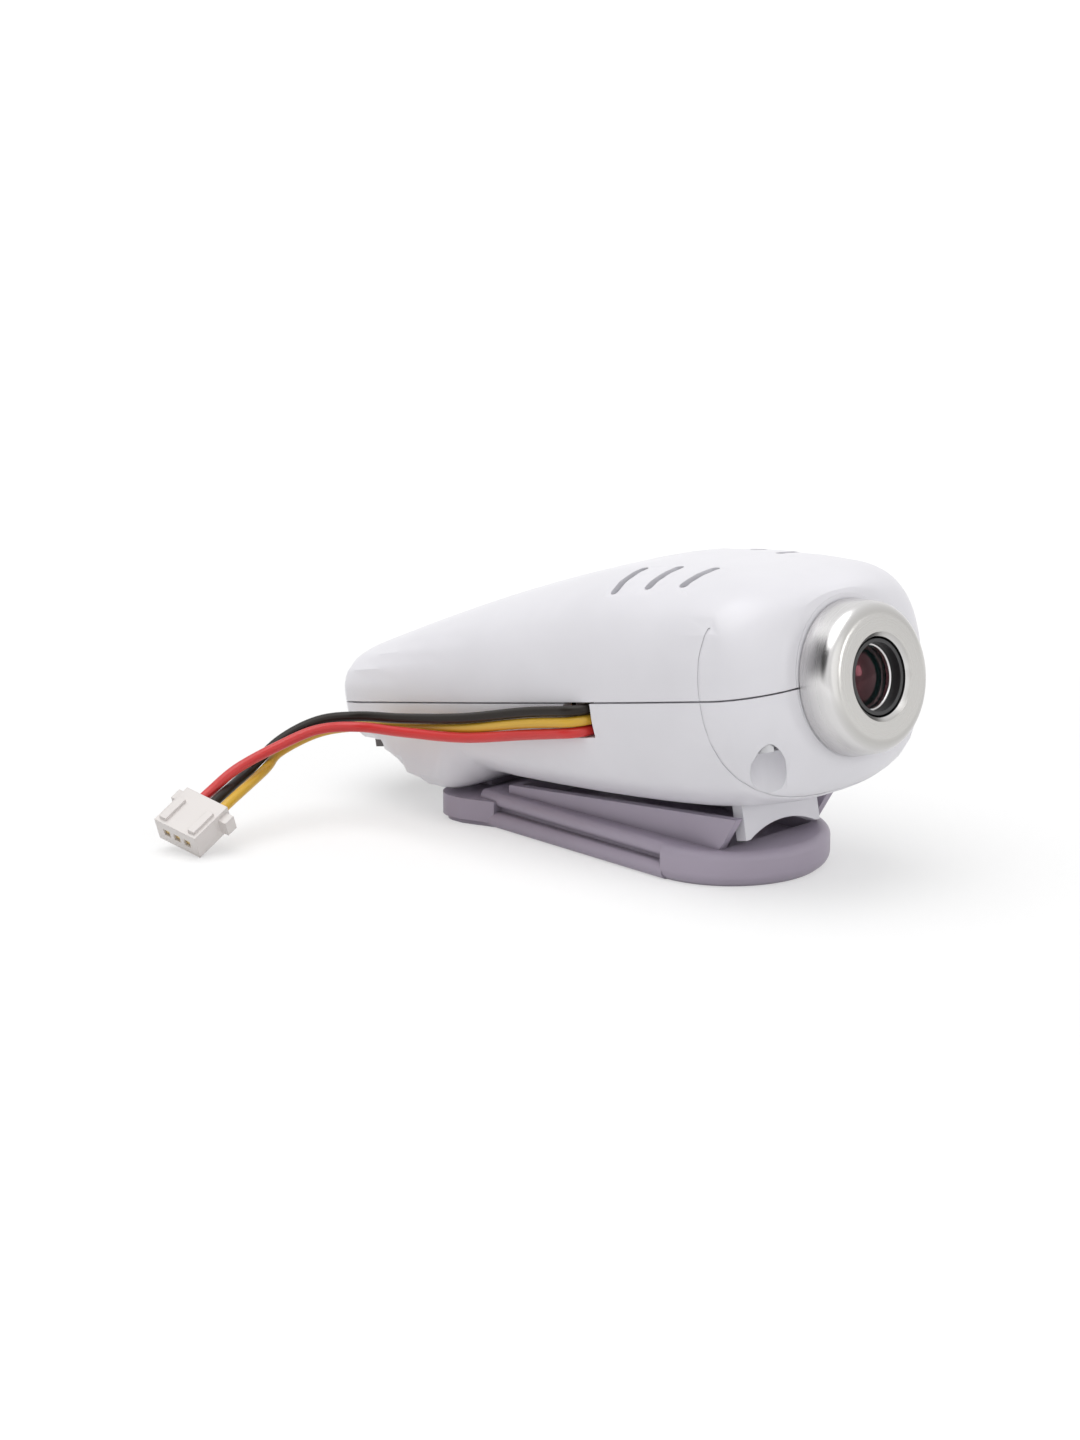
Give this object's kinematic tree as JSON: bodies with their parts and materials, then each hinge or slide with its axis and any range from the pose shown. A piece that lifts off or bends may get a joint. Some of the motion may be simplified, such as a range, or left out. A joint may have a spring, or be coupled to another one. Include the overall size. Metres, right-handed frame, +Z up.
{
  "type": "tilting camera mount",
  "caption": "Small white camera pod with a silver lens ring, tilting on a pin hinge over a slide-in shoe, with a memory card in its tail and a wire lead that ends in a plug.",
  "frame": {"origin": "on the shoe's underside, on its middle line, near the middle of its length", "axes": "+X forward, the way the lens looks along the shoe; +Y left; +Z up, square to the underside"},
  "size_m": [0.064, 0.0503, 0.0295],
  "materials": {
    "pod_white": "moulded, soft gloss",
    "shoe_white": "moulded, fine satin",
    "ring_silver": "satin, bright edge",
    "lens_black": "matte",
    "lens_glass": "polished",
    "filter_glass": "polished",
    "board_green": "lacquered",
    "chip_black": "matte",
    "steel": "plain",
    "ceramic": "matte",
    "ribbon_amber": "glossy film",
    "card_dark": "matte",
    "plug_white": "moulded, translucent edge",
    "contact_brass": "plain",
    "wire_black": "smooth insulation",
    "wire_yellow": "smooth insulation",
    "wire_red": "smooth insulation"
  },
  "bodies": {
    "base": {"base_shoe": "shoe_white", "wire_black": "wire_black", "wire_yellow": "wire_yellow", "wire_red": "wire_red", "plug_housing": "plug_white", "plug_contacts": "contact_brass"},
    "pod": {"lower_shell": "pod_white", "upper_shell": "pod_white", "lens_ring": "ring_silver", "lens_retainer": "ring_silver", "lens_barrel": "lens_black", "lens_holder": "lens_black", "lens_front_glass": "lens_glass", "lens_rear_glass": "lens_glass", "ir_filter": "filter_glass", "sensor_board": "board_green", "main_board": "board_green", "image_sensor": "chip_black", "processor_chip": "chip_black", "memory_chip": "chip_black", "hinge_pin": "steel", "crystal": "steel", "card_socket": "steel", "shell_screw_left": "steel", "shell_screw_right": "steel", "board_screw_left": "steel", "board_screw_right": "steel", "board_capacitors": "ceramic", "sensor_ribbon": "ribbon_amber", "wire_block": "plug_white", "stub_black": "wire_black", "stub_yellow": "wire_yellow", "stub_red": "wire_red"},
    "card": {"memory_card": "card_dark"}
  },
  "joints": [
    {"name": "tilt", "type": "hinge", "parent": "base", "child": "pod", "pos_m": [-0.0194, 0, 0.0046], "axis": [0, -1, 0], "range_deg": [0, 10]},
    {"name": "card_slide", "type": "slide", "parent": "pod", "child": "card", "axis": [-0.9816, 0, -0.1908], "range_m": [0, 0.004]}
  ]
}
